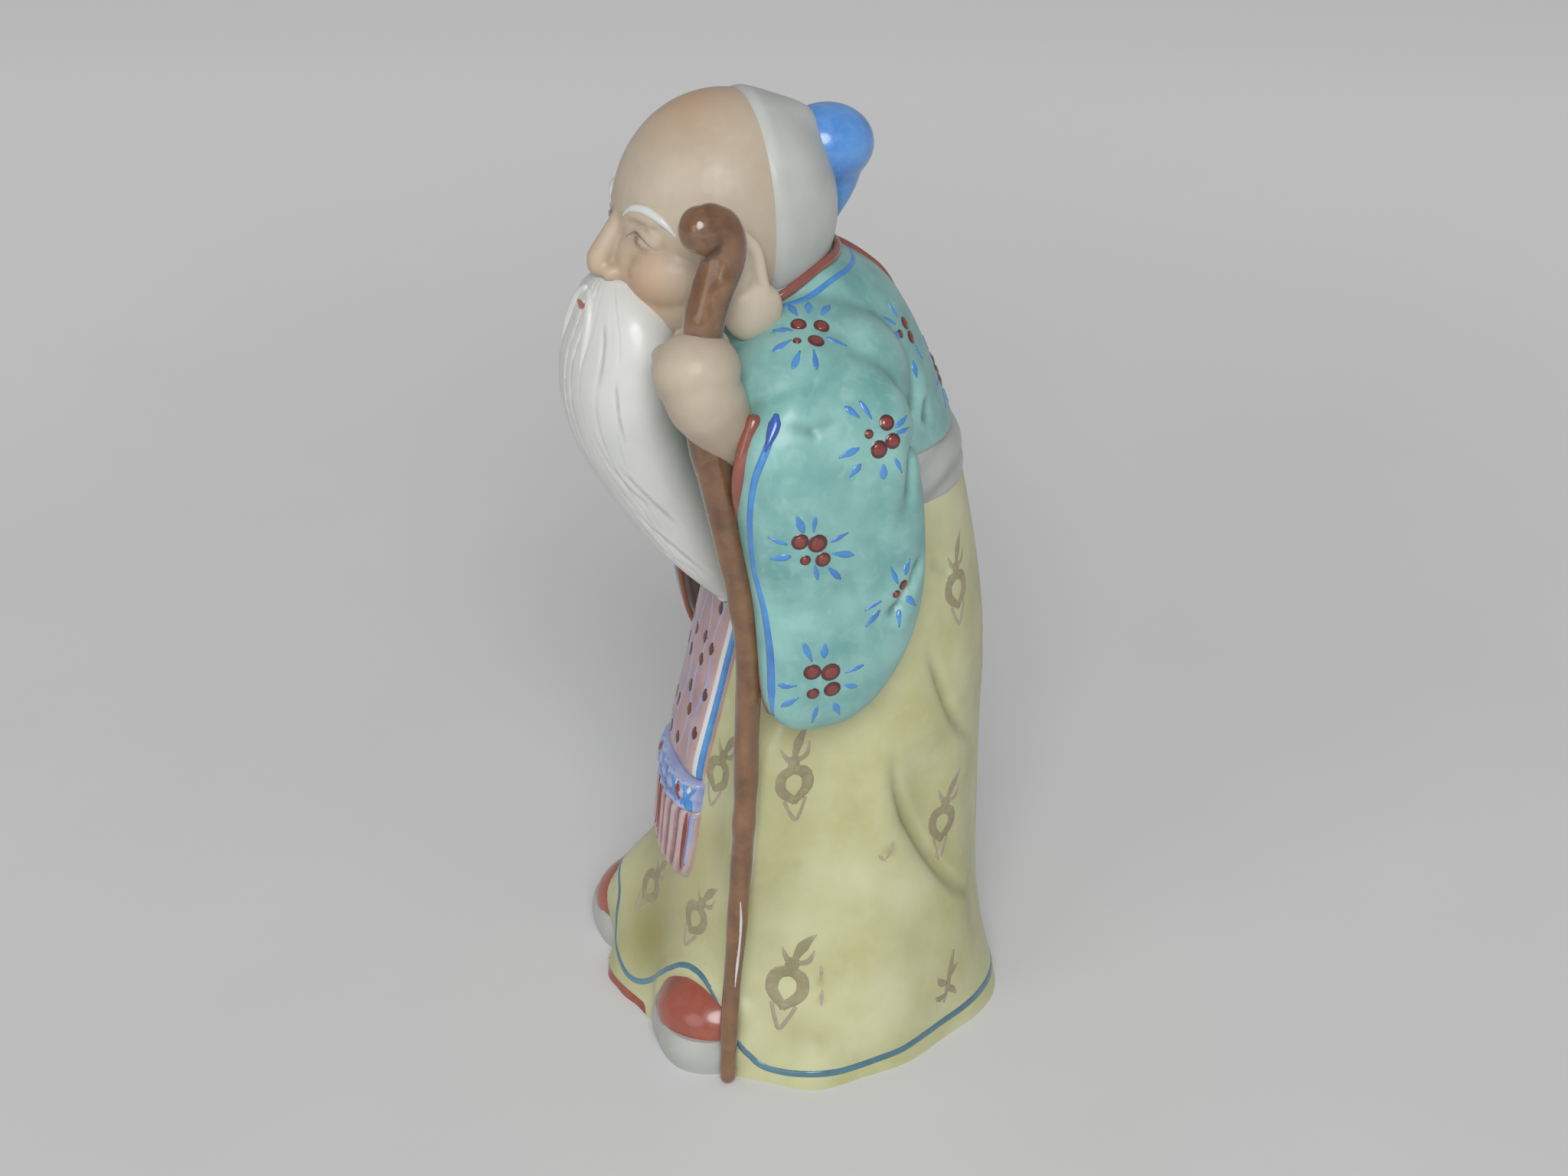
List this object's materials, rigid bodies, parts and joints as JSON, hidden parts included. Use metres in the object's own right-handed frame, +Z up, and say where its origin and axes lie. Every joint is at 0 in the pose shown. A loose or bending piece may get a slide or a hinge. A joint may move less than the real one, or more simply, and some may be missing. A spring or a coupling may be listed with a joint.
{
  "type": "porcelain sage figurine",
  "caption": "Standing hand-painted porcelain figurine of a bearded sage in robe and coat leaning on a crooked staff, hollow with an open foot, for display on a shelf.",
  "frame": {"origin": "on the table, under the middle of the figure's bounding box", "axes": "+Z up; the figure faces -Y; its left hand with the staff is on the +X side"},
  "size_m": [0.0742, 0.0772, 0.1705],
  "materials": {
    "flesh_enamel": "pale flesh enamel, soft gloss",
    "white_glaze": "white glazed porcelain",
    "blue_enamel": "bright blue enamel, glossy",
    "turquoise_enamel": "turquoise enamel, glossy",
    "yellow_enamel": "pale yellow enamel, soft gloss",
    "brown_enamel": "brown enamel, high gloss",
    "iron_red_enamel": "iron-red enamel, glossy",
    "piping_enamel": "dark red-brown enamel, glossy",
    "pink_enamel": "dull pink enamel, glossy",
    "lilac_enamel": "lilac enamel, glossy"
  },
  "bodies": {
    "root": {"left_sole": "white_glaze", "left_shoe": "iron_red_enamel", "right_sole": "white_glaze", "right_shoe": "iron_red_enamel", "staff": "brown_enamel", "underskirt_hem": "iron_red_enamel", "robe_shell": "yellow_enamel", "waist_sash": "white_glaze", "head": "flesh_enamel", "hair_cap": "white_glaze", "coat_body": "turquoise_enamel", "topknot_wrap": "blue_enamel", "left_ear": "flesh_enamel", "right_ear": "flesh_enamel", "left_brow": "white_glaze", "right_brow": "white_glaze", "collar_band": "piping_enamel", "left_hand": "flesh_enamel", "right_hand": "flesh_enamel", "left_sleeve": "turquoise_enamel", "right_sleeve": "turquoise_enamel", "left_cuff_band": "piping_enamel", "right_cuff_band": "piping_enamel", "beard": "white_glaze", "moustache_left": "white_glaze", "moustache_right": "white_glaze", "stole_panel": "pink_enamel", "stole_knot": "lilac_enamel", "stole_fringe": "pink_enamel"}
  },
  "joints": []
}
